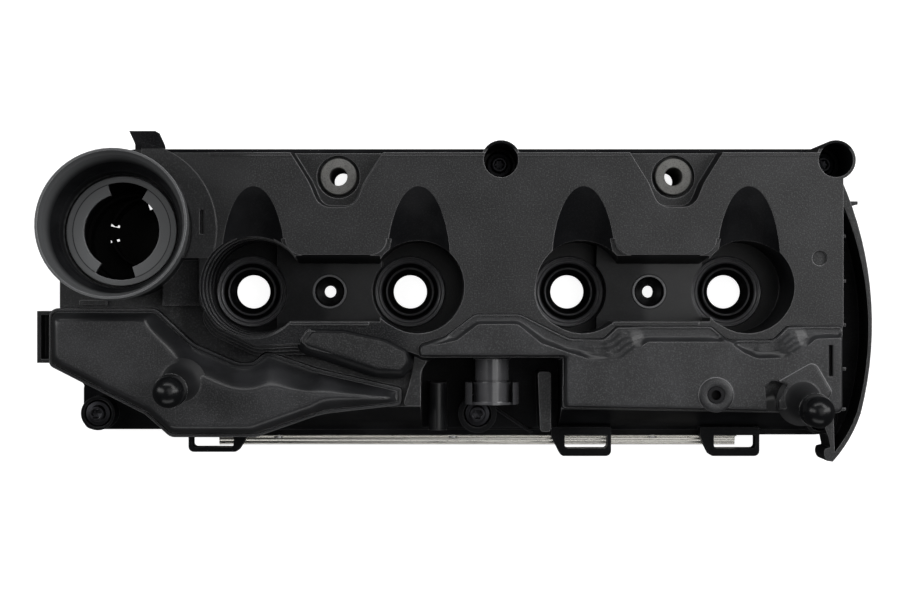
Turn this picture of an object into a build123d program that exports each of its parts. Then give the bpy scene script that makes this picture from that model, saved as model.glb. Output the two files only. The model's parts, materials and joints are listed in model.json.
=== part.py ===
"""Cylinder head cover of a four-cylinder diesel: moulded body, two welded lids, seals, sleeves and screws.

Millimetres, +Z up. z = 0 is the underside of the perimeter gasket, +X the belt end, +Y the rear.
x = 0 lies midway between injectors 2 and 3, y = 0 on the injector line.
"""

from build123d import *
from functools import partial
from math import atan2, cos, hypot, radians, sin, tan
import os

# driving dimensions
PITCH = 88.0  # cylinder spacing
WALL = 3.0  # moulded wall
SEAT_Z = 1.0  # underside of the flange; the gasket bead stands this far proud
FLANGE_Z = 9.0
FLANGE_W = 11.0
STEP_IN = 3.0  # wall stands in from the flange edge
TRAY_Z = 44.0  # lower deck, on which the separator lid is welded
DECK_Z = 57.0  # upper deck
MID_Z = 25.5  # pad between two injector wells
WELL_Z = 14.0  # injector well floor
WELL_R = 25.0
WELL_DX, WELL_DY = 5.0, 2.5  # well centre from its injector
SCOOP_R, SCOOP_DX, SCOOP_Y, SCOOP_TILT = 17.0, 5.5, 13.4, 23.5
TONGUE_R = 8.5  # corners of the deck between two scoops
MID_FRONT, MID_REAR, MID_REAR_TOP = -16.2, 15.5, 19.6
SEAL_POCKET_R, SEAL_FLOOR_Z, INJ_R = 16.0, 5.0, 9.24
CLAMP_R, CLAMP_FLOOR_Z, CLAMP_HOLE_R = 9.4, 17.0, 3.25
GAP = 0.1  # running clearance between pieces
SHARP_R = 1.6  # a corner radius below this is left sharp
HIDDEN_R = 9.0  # the same for the chambers' undersides

INJECTORS = [PITCH * (i - 1.5) for i in range(4)]
CLAMPS = [-PITCH, PITCH]
SCREWS = [(5.5, 70.0), (184.0, 70.0), (-6.5, -67.5), (-216.5, -67.3), (183.5, -69.5)]
SCREW_SEAT_Z = 20.0
TUBE_R, TUBE_BORE_R = 10.6, 9.2  # screw well
SLEEVES = [(-82.0, 62.0), (99.0, 62.0)]
SLEEVE_R, SLEEVE_BORE_R, SLEEVE_TOP_Z, POCKET_Z = 9.9, 4.8, 44.0, 43.0
COLUMN_R, COUNTER_R = 14.0, 11.6

NECK = (-195.0, 31.8, 66.0)  # centre of the bayonet ring face
NECK_TILT = 5.5
COLLAR_R, COLLAR_H, NECK_R, NECK_BORE_R, LUG_R = 39.0, 30.0, 29.0, 26.0, 20.0
NOTCH_ANGLE, NOTCH_TURN = 49.0, -7.0
MARK = (175.5, 17.7)  # shallow blind hole in the deck
POSTS = {"left": (-165.1, -49.2, 58.0, 3.4), "right": (165.3, -58.2, 62.0, 4.6)}
POST_H, BALL_R = 40.0, 8.4

# plan outlines: corner x, y and radius
RIM = [
    (-238, 80, 43),
    (194, 80, 10),
    (194, -80, 11),
    (-176, -80, 4),
    (-182, -77, 4),
    (-226.5, -77, 9.5),
    (-226.5, -52, 4),
    (-238, -42, 4),
]
DECK = [
    (-155.5, 17.8, 1),
    (-188, 17.8, 4),
    (-188, 74, 8),
    (188, 74, 8),
    (188, -64.8, 3),
    (38.5, -62, 2),
    (38.5, -35.2, 2),
    (-34.5, -35.2, 2),
    (-47, -31, 6),
    (-104.8, -28, 8),
    (-125, -29, 8),
    (-146, -19, 9),
    (-155.5, -6, 6),
]
SEPARATOR = [
    (-238, -9, 5),
    (-180, -9, 8),
    (-160, -28, 14),
    (-136, -38.3, 10),
    (-128, -38.3, 5),
    (-120.5, -32, 5),
    (-93, -41.5, 20),
    (-47.6, -52, 2),
    (-47.6, -61.5, 3),
    (-91, -66.3, 60),
    (-126, -78.6, 8),
    (-172.5, -78.6, 6),
    (-186, -66.5, 12),
    (-238, -40, 4),
]
RESERVOIR = [
    (-38, -34.5, 2),
    (-38, -28.5, 3),
    (-24, -24, 8),
    (-8.5, -12.2, 6),
    (15.5, -12.2, 8),
    (42, -25.4, 14),
    (60, -25.4, 5),
    (67, -18.7, 3),
    (117, -18.7, 4),
    (126, -26, 9),
    (150.5, -26, 7),
    (157.6, -18.7, 4),
    (187, -18.7, 2),
    (187, -64.5, 3),
    (39.5, -61.5, 1.5),
    (39.5, -34.5, 1.5),
]
LID_TOP = [
    (-24.5, -33.4, 2),
    (-17, -28, 5),
    (-13.3, -21, 5),
    (-6.8, -18, 6),
    (16.7, -18, 8),
    (25, -21, 8),
    (37, -29, 10),
    (49.5, -33, 12),
    (60, -38, 12),
    (69.5, -38, 10),
    (82, -27, 7),
    (127, -27, 8),
    (139, -36, 12),
    (160, -36, 9),
    (172, -25, 4),
    (186, -25, 1.5),
    (186, -64.2, 1),
    (40.2, -61.2, 1),
    (40.2, -33.4, 4),
]
OVAL = [
    (-100, -17.5, 5),
    (-106, -28, 6),
    (-102, -33, 7),
    (-62, -46.5, 20),
    (-47, -47, 5),
    (-41.2, -39.5, 5),
    (-46.5, -31, 6),
    (-90, -19, 10),
]
BULGE_FOOT = [
    (-235, -12, 5),
    (-181.5, -12, 8),
    (-162, -30.5, 14),
    (-138, -41.5, 10),
    (-126, -41.5, 7),
    (-117.5, -36, 7),
    (-91.5, -44.5, 18),
    (-50.5, -54, 1),
    (-50.5, -59, 1),
    (-91.5, -63.5, 50),
    (-126.5, -76, 9),
    (-171.5, -76, 8),
    (-184.5, -64.3, 12),
    (-235, -38.8, 4),
]
BULGE_MID = [
    (-234.3, -14, 5),
    (-182.5, -14, 8),
    (-164.5, -33.2, 15),
    (-140, -45.5, 11),
    (-125, -45.8, 8),
    (-115.5, -41, 8),
    (-90.8, -47.5, 17),
    (-56, -55, 1),
    (-56, -58.4, 1),
    (-91.8, -62, 40),
    (-127, -74.6, 9),
    (-171, -74.6, 8),
    (-183.6, -63.2, 12),
    (-234.3, -38.1, 4),
]
BULGE_TOP = [
    (-233.2, -17, 5),
    (-184, -17, 9),
    (-169, -37.5, 16),
    (-144, -51, 12),
    (-124, -52, 10),
    (-113, -47.5, 10),
    (-90, -51.5, 16),
    (-66, -55.6, 0.8),
    (-66, -57.6, 0.8),
    (-92, -60.2, 30),
    (-127.5, -72.5, 9),
    (-170.5, -72.5, 8),
    (-182.5, -61.8, 12),
    (-233.2, -37.4, 5),
]
CHAMBER = [
    (-232, -15, 4),
    (-183, -15, 6),
    (-163.5, -32, 12),
    (-140, -44, 8),
    (-108, -44, 6),
    (-100, -50, 5),
    (-100, -62, 5),
    (-127, -72.5, 8),
    (-170, -72.5, 6),
    (-183, -61, 10),
    (-232, -37.5, 3),
]
VESSEL = [
    (45, -31.5, 3),
    (62, -31.5, 5),
    (69.5, -25, 3),
    (115, -25, 4),
    (124.5, -32, 9),
    (152, -32, 7),
    (160, -25, 4),
    (181.5, -25, 2),
    (181.5, -58.5, 3),
    (45, -56, 3),
]
LID_FOOT = [
    (-33, -33.9, 2),
    (-22, -27, 5),
    (-17.5, -21, 5),
    (-8, -14.6, 6),
    (15, -14.6, 8),
    (27, -19.8, 10),
    (39.5, -26.6, 10),
    (50, -28.4, 10),
    (60, -31, 8),
    (68.5, -31, 7),
    (79.5, -22, 5),
    (119, -22, 5),
    (130, -30, 9),
    (151, -30.5, 7),
    (162, -22, 4),
    (186.9, -22, 1.5),
    (186.9, -64.4, 1),
    (39.6, -61.4, 1),
    (40, -33.9, 4),
]
OVAL_TOP = [
    (-97.5, -20.8, 2.5),
    (-101.5, -26.2, 2.5),
    (-97, -30.2, 3),
    (-60, -39.5, 16),
    (-50.2, -38.6, 3),
    (-46.8, -34.6, 2.5),
    (-50, -31, 3),
    (-90, -21.5, 8),
]
# front cavity: round rear corners, and the link web to its left
BAY = [(-37.4, -95, 0), (-37.4, -35.2, 11), (38.5, -35.2, 6), (38.5, -95, 0)]
WEB = [
    (-40.5, -31, 1),
    (-31, -31, 1),
    (-33, -35.5, 3),
    (-37.4, -43, 4),
    (-37.4, -61.4, 1),
    (-47, -61.4, 2),
    (-43.6, -50.7, 6),
    (-41.5, -41, 6),
]
CORNER_WEB = [(-227, -77, 5), (-174, -77, 1), (-166, -69, 1), (-214, -44, 1), (-227, -52, 4)]
LID_POCKET = [
    (145.2, -51, 2),
    (149.5, -47.3, 2),
    (157.5, -49.6, 2),
    (152.6, -57.5, 3),
    (152.6, -72, 1),
    (147.6, -72, 1),
]
CAVITY = (-37.4, 38.5, -35.2, 12.0)  # x low, x high, rear wall y, floor z
CHAMBER_Z, RESERVOIR_Z = 18.0, 40.0  # floors of the two welded chambers
SEP_RIM, SEP_MID, SEP_TOP = (43.0, 46.0), 54.0, 58.0
BEAD, TERRACES = 0.9, 5  # height of the rims' beads; steps up to the reservoir lid's plateau
RES_RIM, RES_TOP = (54.0, 58.0), 62.0
PIPE = (1.2, 36.0, 9.3, 10.2, 7.4)  # x, z, root radius, nose radius, bore radius
INSERT = (119.3, -55.0, 4.4, 2.6, 8.0)  # x, y, radius, thread radius, length
GUARD_ARC = ((190.0, 61.5), (206.9, -16.0), (200.8, -66.0), (194.6, -79.8), (185.6, -92.2))
GUARD_Z, GUARD_TOP = 18.0, 42.0
CLIPS = [(-166.5, -139.5, -88.7, 1, 2.6), (39.8, 67.5, -91.0, -1, 4.2), (122.4, 149.6, -91.0, -1, 4.2)]
CLIP_Z = (11.0, 21.0)
GROOVE = (3.5, 7.5, 5.0)  # outer and inner inset, roof z
SHIELD_X = (-151.8, 138.8)
RIVETS_X = [-118.0, -20.0, 92.0]
RIVET_Z = 7.0
BAFFLE = [
    (-222, -20, 5),
    (-186, -20, 5),
    (-164, -38, 8),
    (-110, -46, 6),
    (-104, -58, 4),
    (-128, -68, 6),
    (-172, -68, 6),
    (-222, -42, 5),
]
BAFFLE_FIXINGS = [(-214, -27), (-211, -38), (-150, -60), (-116, -53)]
BAFFLE_Z = 11.0
GUARD_DISH = (-46.0, -38.0)  # splash guard: foot and rim, measured from the bayonet ring
VANE = (7.0, 4.0, 19.2, 13.0)  # curved vane: centre, radius and height
SLITS = [(-12.0, 9.0, 5.2, 1.5, -12), (-12.0, 0.6, 5.2, 1.5, 10), (1.8, 23.3, 5.5, 1.5, 14), (8.0, 20.0, 3.4, 3.6, 20)]
STEPS, STEP_W, STEP_H = 4, 1.9, 3.1  # contour steps in and beside the first well
LIP = 0.8  # lips that edge the deck


def inset(points, amount):
    """The same outline moved inwards, with each radius shrunk or grown to suit."""
    area = sum(a[0] * b[1] - b[0] * a[1] for a, b in zip(points, points[1:] + points[:1]))
    side = amount if area > 0 else -amount
    moved = []
    for i, (x, y, r) in enumerate(points):
        ax, ay = points[i - 1][:2]
        bx, by = points[(i + 1) % len(points)][:2]
        ux, uy = (x - ax) / hypot(x - ax, y - ay), (y - ay) / hypot(x - ax, y - ay)
        vx, vy = (bx - x) / hypot(bx - x, by - y), (by - y) / hypot(bx - x, by - y)
        turn = ux * vy - uy * vx
        reach = side * tan(atan2(turn, ux * vx + uy * vy) / 2)
        px, py = x - uy * side - ux * reach, y + ux * side - uy * reach
        convex = turn * (1 if area > 0 else -1) > 0
        moved.append((px, py, max(r - amount, 0.4) if convex else max(r + amount, 0.4)))
    return moved


def outline(points, sharp=(), least=SHARP_R):
    """A face with straight sides and round corners, in the current sketch."""
    ends = []
    for i, (x, y, r) in enumerate(points):
        ax, ay = points[i - 1][:2]
        bx, by = points[(i + 1) % len(points)][:2]
        ux, uy = (ax - x) / hypot(ax - x, ay - y), (ay - y) / hypot(ax - x, ay - y)
        vx, vy = (bx - x) / hypot(bx - x, by - y), (by - y) / hypot(bx - x, by - y)
        half = atan2(abs(ux * vy - uy * vx), ux * vx + uy * vy) / 2
        cut = r / tan(half)
        mx, my = ux + vx, uy + vy
        far = (r / sin(half) - r) / hypot(mx, my)
        first = (x + ux * cut, y + uy * cut)
        last = (x + vx * cut, y + vy * cut)
        corner = i in sharp or r < least
        ends.append(((x, y), None, (x, y)) if corner else (first, (x + mx * far, y + my * far), last))
    with BuildLine() as edge:
        for i, (first, middle, last) in enumerate(ends):
            if middle:
                ThreePointArc(first, middle, last)
            Line(last, ends[(i + 1) % len(ends)][0])
    make_face(edge.edges())


def prism(points, low, high, mode=Mode.ADD, least=SHARP_R):
    with BuildSketch(Plane.XY.offset(low)) as section:
        outline(points, least=least)
    extrude(section.sketch, amount=high - low, mode=mode)


def frustum(lower, upper, low, high, mode=Mode.ADD):
    sharp = [i for i, (a, b) in enumerate(zip(lower, upper)) if min(a[2], b[2]) < SHARP_R]
    with BuildSketch(Plane.XY.offset(low)) as foot:
        outline(lower, sharp)
    with BuildSketch(Plane.XY.offset(high)) as head:
        outline(upper, sharp)
    loft(sections=[foot.sketch, head.sketch], ruled=True, mode=mode)


def band(points, width, low, high):
    """Upright rim that follows an outline, on its inner side."""
    with BuildSketch(Plane.XY.offset(low)) as section:
        outline(points)
        with BuildSketch(mode=Mode.PRIVATE) as middle:
            outline(inset(points, width))
        add(middle.sketch, mode=Mode.SUBTRACT)
    extrude(section.sketch, amount=high - low)


def between(lower, upper, share):
    """The outline a given share of the way from one to another of as many corners."""
    return [tuple(p + share * (q - p) for p, q in zip(a, b)) for a, b in zip(lower, upper)]


def block(x0, x1, y0, y1, z0, z1, mode=Mode.ADD):
    with Locations(((x0 + x1) / 2, (y0 + y1) / 2, (z0 + z1) / 2)):
        Box(x1 - x0, y1 - y0, z1 - z0, mode=mode)


def rod(x, y, z0, z1, radius, mode=Mode.ADD):
    with Locations((x, y, (z0 + z1) / 2)):
        Cylinder(radius, z1 - z0, mode=mode)


def turned(x, y, profile, mode=Mode.ADD):
    """Solid of revolution about a vertical axis; profile holds radius and height pairs."""
    with BuildSketch(Plane.XZ.offset(-y)) as section:
        with BuildLine():
            Polyline(*[(x + r, z) for r, z in profile], close=True)
        make_face()
    revolve(section.sketch, axis=Axis((x, y, 0), (0, 0, 1)), mode=mode)


def wells(grow):
    """Injector wells, pads and scoops as one solid; grow thickens it all round for the walls."""
    top = DECK_Z + 20 if grow == 0 else DECK_Z
    with BuildPart() as tub:
        for x in INJECTORS:
            rod(x + WELL_DX, WELL_DY, WELL_Z - grow, top, WELL_R + grow)
            rod(x, 0, WELL_Z - grow, top, 20.4 + grow)
        for step in range(1, STEPS + 1):
            low = WELL_Z + step * (DECK_Z - WELL_Z) / (STEPS + 1)
            rod(INJECTORS[0] + WELL_DX, WELL_DY, low - grow, top, WELL_R + grow + step * 0.7)
        for a, b in ((0, 1), (2, 3)):
            x0, x1 = INJECTORS[a] + 15.0, INJECTORS[b] - 15.0
            lean = (MID_REAR_TOP - MID_REAR) / (DECK_Z - MID_Z)
            high = MID_REAR_TOP + lean * (top - DECK_Z)
            with BuildSketch(Plane.YZ.offset(x0)):
                with BuildLine():
                    Polyline(
                        (MID_FRONT - grow, MID_Z - grow),
                        (MID_REAR + grow, MID_Z - grow),
                        (high + grow, top),
                        (MID_FRONT - grow, top),
                        close=True,
                    )
                make_face()
            extrude(amount=x1 - x0)
            # the deck runs out between two scoops as a tongue with round corners
            for side, x in ((1, INJECTORS[a] + SCOOP_DX + SCOOP_R), (-1, INJECTORS[b] + SCOOP_DX - SCOOP_R)):
                cx, cy = x + side * TONGUE_R, MID_REAR_TOP + TONGUE_R
                with BuildPart(mode=Mode.PRIVATE) as corner:
                    edges = sorted((x - side * (2.5 + grow), cx))
                    block(*edges, MID_REAR - grow, cy, DECK_Z - 3.5 - grow, top)
                    rod(cx, cy, 0, 100, TONGUE_R - grow, Mode.SUBTRACT)
                add(corner.part)
    pad = [(x + s * 15.0, 0) for x, s in zip(INJECTORS, (1, -1, 1, -1))]
    with BuildPart() as full:
        add(tub.part)
        # the pads stand above the well floors
        if grow == 0:
            for (x0, _), (x1, _) in ((pad[0], pad[1]), (pad[2], pad[3])):
                block(x0, x1, -WELL_R, WELL_R + 8, 0, MID_Z, Mode.SUBTRACT)
            for x in INJECTORS:
                rod(x, 0, WELL_Z, MID_Z + 1, 20.4)
        for x in INJECTORS:
            axis = Plane(
                origin=(x + SCOOP_DX, SCOOP_Y, DECK_Z),
                z_dir=(0, cos(radians(SCOOP_TILT)), sin(radians(SCOOP_TILT))),
                x_dir=(1, 0, 0),
            )
            with BuildPart(mode=Mode.PRIVATE) as scoop:
                with BuildSketch(axis):
                    Circle(SCOOP_R + grow)
                extrude(amount=60, both=True)
                cap = DECK_Z if grow else DECK_Z + 20
                block(-250, 250, -120, 2.0, -60, 160, Mode.SUBTRACT)
                block(-250, 250, -120, 160, cap, 160, Mode.SUBTRACT)
                block(-250, 250, -120, 160, -60, WELL_Z - grow, Mode.SUBTRACT)
            add(scoop.part)
    return full.part


def neck_plane(height):
    lean = radians(NECK_TILT)
    x, y, z = NECK
    return Plane(
        origin=(x, y + height * sin(lean), z + height * cos(lean)),
        x_dir=(1, 0, 0),
        z_dir=(0, sin(lean), cos(lean)),
    )


def neck_turned(profile, mode=Mode.ADD):
    """Solid of revolution about the leaning neck axis."""
    base = neck_plane(0)
    section_plane = Plane(origin=base.origin, x_dir=base.x_dir, z_dir=-base.y_dir)
    with BuildSketch(section_plane) as section:
        with BuildLine():
            Polyline(*profile, close=True)
        make_face()
    revolve(section.sketch, axis=Axis(base.origin, base.z_dir), mode=mode)


def post(side):
    """Ball-headed cover stud on a flared foot, leaning slightly to the front."""
    x, y, z, tilt = POSTS[side]
    lean = radians(tilt)
    axis = Vector(0, -sin(lean), cos(lean))
    section_plane = Plane(origin=(x, y, z), x_dir=(1, 0, 0), z_dir=(0, -cos(lean), -sin(lean)))
    with BuildSketch(section_plane) as section:
        with BuildLine():
            foot = Polyline((0, -2.2), (13.6, -2.2), (11.6, 1.4), (8.6, 5.0), (7.0, 11.0))
            shaft = Polyline(foot @ 1, (5.9, 26.0), (5.9, 28.5), (7.4, 30.5), (7.4, 33.2))
            start = Vector(cos(radians(-28)) * BALL_R, POST_H + sin(radians(-28)) * BALL_R)
            Line(shaft @ 1, start)
            middle = Vector(cos(radians(30)) * BALL_R, POST_H + sin(radians(30)) * BALL_R)
            ThreePointArc(start, middle, (0, POST_H + BALL_R))
            Line((0, POST_H + BALL_R), (0, -2.2))
        make_face()
    revolve(section.sketch, axis=Axis((x, y, z), axis))


def pocket(x):
    """Plan of the recess that opens to the rear round a bracket sleeve."""
    top, waist, low = 76.5, 58.0, 44.7
    return [
        (x - 45, 90, 0.5),
        (x - 45, top, 0.5),
        (x - 26.5, top, 6),
        (x - 15, waist, 20),
        (x - 9.5, low, 9),
        (x + 9.5, low, 9),
        (x + 15, waist, 20),
        (x + 26.5, top, 6),
        (x + 45, top, 0.5),
        (x + 45, 90, 0.5),
    ]


def crescent():
    """Belt-end guard: a low floor with an upright rim on a shallow arc that tapers to a hook."""
    first, middle, joint, turn, tip = GUARD_ARC
    for low, high, lip in ((GUARD_Z, GUARD_Z + 2.5, False), (GUARD_Z, GUARD_TOP, True)):
        with BuildSketch(Plane.XY.offset(low)) as plan:
            with BuildLine():
                ThreePointArc(first, middle, joint)
                ThreePointArc(joint, turn, tip)
                Line(tip, (182.7, -91.8))
                ThreePointArc((182.7, -91.8), (181.0, -88.6), (181.6, -85.2))
                Polyline((181.6, -85.2), (184.4, -84.4), (183.4, -79.0), (181.4, -74), (187.0, -66))
                Line((187.0, -66), (187.0, 61.5))
                Line((187.0, 61.5), first)
            make_face()
            if lip:
                with BuildLine():
                    ThreePointArc((187.0, 56.0), (204.9, -16.0), (198.7, -65.6))
                    ThreePointArc((198.7, -65.6), (192.6, -78.6), (186.6, -87.2))
                    Polyline((186.6, -87.2), (186.0, -66), (187.0, 56.0))
                make_face(mode=Mode.SUBTRACT)
        extrude(plan.sketch, amount=high - low)
    for y in (30.1, 5.7, -18.2, -42.1, -64.0):
        block(189, 193.6, y - 0.8, y + 0.8, GUARD_Z, 38)
    block(194.0, 199.6, 47.2, 49.0, GUARD_Z, 40)


def body():
    base = inset(RIM, STEP_IN)
    mid = inset(RIM, STEP_IN + 2.4)
    wing = [(-150, -60.5, 3), (-178, -58, 3), (-222, -46, 3), (-232.6, -40, 3)]
    tray = mid[:2] + [(188.6, -66, 5)] + wing
    tray_foot = base[:3] + [(-150, -77, 3), (-178, -75.6, 3), (-223, -50, 3), (-235, -41, 3)]
    deck_foot = inset(DECK, -2.0)
    deck_foot[2:6] = [(-190, 74.6, 10), (188.6, 74.6, 8.6), (188.6, -65.9, 3), (38.5, -63.5, 2)]
    deck_foot[7] = (-37.4, -39.0, 2)
    x0, x1, y1, cavity_z = CAVITY
    px, pz, root, nose, _ = PIPE
    with BuildPart() as hollow:
        prism(inset(RIM, FLANGE_W), SEAT_Z - 1, FLANGE_Z)
        frustum(inset(tray_foot, WALL), inset(tray, WALL), FLANGE_Z, TRAY_Z - WALL)
        frustum(inset(deck_foot, WALL + 0.5), inset(DECK, WALL), TRAY_Z - WALL, DECK_Z - WALL)
        # walls kept inside the space: wells, chambers, cavity, columns
        add(wells(WALL), mode=Mode.SUBTRACT)
        prism(inset(CHAMBER, -4.5), CHAMBER_Z - WALL, TRAY_Z, Mode.SUBTRACT, HIDDEN_R)
        prism(inset(VESSEL, -WALL), RESERVOIR_Z - WALL, DECK_Z, Mode.SUBTRACT, HIDDEN_R)
        prism(inset(RESERVOIR, -1.0), RES_RIM[0] - WALL, DECK_Z, Mode.SUBTRACT, HIDDEN_R)
        prism(inset(BAY, -WALL), -5, DECK_Z, Mode.SUBTRACT)
        for x in INJECTORS:
            rod(x, 0, 2.0, WELL_Z, SEAL_POCKET_R + WALL, Mode.SUBTRACT)
        for x in CLAMPS:
            rod(x, 0, 5.0, MID_Z, CLAMP_R + WALL, Mode.SUBTRACT)
        for x, y in SLEEVES:
            rod(x, y, -5, DECK_Z, COLUMN_R, Mode.SUBTRACT)
            prism(inset(pocket(x), -WALL), POCKET_Z - WALL, DECK_Z, Mode.SUBTRACT, HIDDEN_R)
        for x, y in SCREWS:
            rod(x, y, -5, DECK_Z, TUBE_R, Mode.SUBTRACT)
        for x, y in BAFFLE_FIXINGS:
            rod(x, y, BAFFLE_Z + 1.2, CHAMBER_Z, 4.0, Mode.SUBTRACT)
        neck_turned([(0, -70), (NECK_R, -70), (NECK_R, 0), (0, 0)], Mode.SUBTRACT)
    with BuildPart() as cover:
        prism(RIM, SEAT_Z, FLANGE_Z)
        frustum(tray_foot, tray, FLANGE_Z, TRAY_Z)
        frustum(deck_foot, DECK, TRAY_Z, DECK_Z)
        # contour steps down from the deck, left of the first well and in front of it
        for step in range(1, STEPS):
            tread = inset(DECK, -STEP_W * step)[8:]
            prism([(-100, 10, 0)] + tread + [(-120, 10, 0)], TRAY_Z - 1, DECK_Z - STEP_H * step)
        prism(inset(SEPARATOR, 2.0), FLANGE_Z, SEP_RIM[0])
        prism(OVAL, TRAY_Z - 8, 50.0)
        frustum(OVAL, OVAL_TOP, 50.0, DECK_Z + 1.2)
        # low lips along the rear edge and in front of the pads
        block(-150, 180, 72.5, 74.0, DECK_Z - 2, DECK_Z + LIP)
        for a, b in ((0, 1), (2, 3)):
            block(INJECTORS[a] + 21, INJECTORS[b] - 21, MID_FRONT - 1.6, MID_FRONT, DECK_Z - 2, DECK_Z + LIP)
        block(-176.0, -154.0, -7.5, 19.0, TRAY_Z - 2, 50.0)
        add(hollow.part, mode=Mode.SUBTRACT)
        prism(inset(SEPARATOR, -0.4), SEP_RIM[0], 80, Mode.SUBTRACT)
        # lid seats and the chambers below them
        prism(inset(CHAMBER, 0.5), CHAMBER_Z, TRAY_Z, Mode.SUBTRACT)
        prism(inset(RESERVOIR, -0.4), RES_RIM[0], 80, Mode.SUBTRACT)
        block(x1, 200, -90, -50, RES_RIM[0], 80, Mode.SUBTRACT)
        prism(CORNER_WEB, FLANGE_Z - 5, FLANGE_Z)
        block(180, 200, -90, -18.3, RES_RIM[0], 80, Mode.SUBTRACT)
        with BuildPart(mode=Mode.PRIVATE) as vessel:
            prism(VESSEL, RESERVOIR_Z, RES_RIM[0] + 1)
            add(wells(WALL), mode=Mode.SUBTRACT)
        add(vessel.part, mode=Mode.SUBTRACT)
        # front cavity with its ribs, boss and link web
        prism(BAY, cavity_z, 80, Mode.SUBTRACT)
        prism(WEB, TRAY_Z - 6, 50.0)
        block(-33.5, -23.5, -76, -50, cavity_z - 1, 26)
        with Locations(Location((-28.5, -63, 26), (90, 0, 0))):
            Cylinder(5.0, 26)
        prism([(25.9, -43.5, 1.7), (33, -43.5, 1.7), (33, -76, 2), (27.2, -76, 2)], cavity_z - 1, 42)
        prism([(2.5, -65.2, 0), (3.7, -64.2, 0), (24.5, -78.0, 0), (23.3, -79.0, 0)], 10, 16)
        with Locations(Location((px, y1, pz), (90, 0, 0))):
            Cylinder(root + 1.0, 3.0)
        # filler neck with its collar
        neck_turned(
            [
                (0, -26),
                (33, -26),
                (33, 6),
                (COLLAR_R - 1.5, 16),
                (COLLAR_R, 22),
                (COLLAR_R, COLLAR_H),
                (0, COLLAR_H),
            ]
        )
        neck_turned([(0, -50), (NECK_R, -50), (NECK_R, -20), (0, -20)])
        neck_turned(
            [
                (0, COLLAR_H + 1),
                (38.0, COLLAR_H + 1),
                (37.2, COLLAR_H - 2.0),
                (36.2, COLLAR_H - 4.5),
                (34.4, 15.0),
                (32.2, 9.5),
                (31.2, 8.0),
                (30.7, 2.0),
                (30.4, -4.0),
                (NECK_R, -4.0),
                (NECK_R, 0.0),
                (0, 0.0),
            ],
            Mode.SUBTRACT,
        )
        neck_turned(
            [(0, -90), (NECK_BORE_R, -90), (NECK_BORE_R, -5), (LUG_R, -4), (LUG_R, 1), (0, 1)],
            Mode.SUBTRACT,
        )
        with BuildSketch(neck_plane(-6)) as notches:
            for turn in (90, 270):
                with BuildLine():
                    first = turn + NOTCH_TURN - NOTCH_ANGLE / 2
                    arc = CenterArc((0, 0), NECK_BORE_R, first, NOTCH_ANGLE)
                    Polyline(arc @ 1, (0, 0), arc @ 0)
                make_face()
        extrude(notches.sketch, amount=8, mode=Mode.SUBTRACT)
        # low collar on the deck beside the neck
        with BuildPart(mode=Mode.PRIVATE) as surround:
            rod(-193, 33, DECK_Z - 4, DECK_Z + 1.2, 47)
            rod(-193, 33, DECK_Z - 5, DECK_Z + 2, 34, Mode.SUBTRACT)
            block(-245, -140, -20, 17.8, 40, 60, Mode.SUBTRACT)
            block(-245, -186, -20, 90, 40, 60, Mode.SUBTRACT)
        add(surround.part)
        block(-154.8, -153.0, 30.5, 43.5, DECK_Z - 2, 60, Mode.SUBTRACT)
        block(-221.5, -207.0, -7.2, -4.8, TRAY_Z - 1, TRAY_Z + 2.5)
        # wells, seal pockets and clamp holes
        add(wells(0), mode=Mode.SUBTRACT)
        for x in INJECTORS:
            rod(x, 0, SEAL_FLOOR_Z, WELL_Z + 1, SEAL_POCKET_R, Mode.SUBTRACT)
            rod(x, 0, -5, SEAL_FLOOR_Z + 1, INJ_R + 0.8, Mode.SUBTRACT)
        for x in CLAMPS:
            rod(x, 0, CLAMP_FLOOR_Z, MID_Z + 1, CLAMP_R, Mode.SUBTRACT)
            rod(x, 0, -5, CLAMP_FLOOR_Z + 1, CLAMP_HOLE_R + 1.0, Mode.SUBTRACT)
        # bracket sleeve pockets
        for x, y in SLEEVES:
            frustum(inset(pocket(x), 1.6), pocket(x), POCKET_Z, DECK_Z + 2.0, Mode.SUBTRACT)
            rod(x, y, 38.0, POCKET_Z + 1, COUNTER_R, Mode.SUBTRACT)
            rod(x, y, 20.0, 39.0, SLEEVE_R + GAP, Mode.SUBTRACT)
            rod(x, y, -5, 21.0, 7.5, Mode.SUBTRACT)
        # rear hook, blind hole, guard and loom clips
        prism(
            [
                (-176.4, 68, 1),
                (-176.4, 79, 6),
                (-179.6, 86, 1),
                (-193.6, 86, 0.6),
                (-190.4, 79, 4),
                (-190.4, 68, 1),
            ],
            38,
            52,
        )
        rod(*MARK, DECK_Z - 2, 80, 4.1, Mode.SUBTRACT)
        crescent()
        for a, b, front, side, bar in CLIPS:
            slant = [(a, -75, 0), (b + 5.5, -75, 0), (b + 5.5, -80.2, 0), (b, front, 3), (a, front, 3)]
            if side < 0:
                slant = [(a + b - x, y, r) for x, y, r in slant]
            prism(slant, *CLIP_Z)
            slot = [(a + 2, -79.5, 1), (b - 2, -79.5, 1), (b - 2, front + bar, 2), (a + 2, front + bar, 2)]
            prism(slot, CLIP_Z[0] - 1, CLIP_Z[1] + 1, Mode.SUBTRACT)
        block(-247.5, -232.0, -39.0, -10.6, 22, 33)
        block(-245.3, -237.5, -37.0, -12.6, 24, 40, Mode.SUBTRACT)
        # screw wells
        for i, (x, y) in enumerate(SCREWS):
            top = DECK_Z if i < 2 else 22.0
            rod(x, y, SEAT_Z, top, TUBE_R if i < 3 else 9.4)
            rod(x, y, 21.0, 80 if i < 2 else 40, TUBE_BORE_R if i < 2 else 7.9, Mode.SUBTRACT)
            rod(x, y, 12.0, 22.0, 7.5, Mode.SUBTRACT)
            rod(x, y, -5, 13.0, 4.8, Mode.SUBTRACT)
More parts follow.
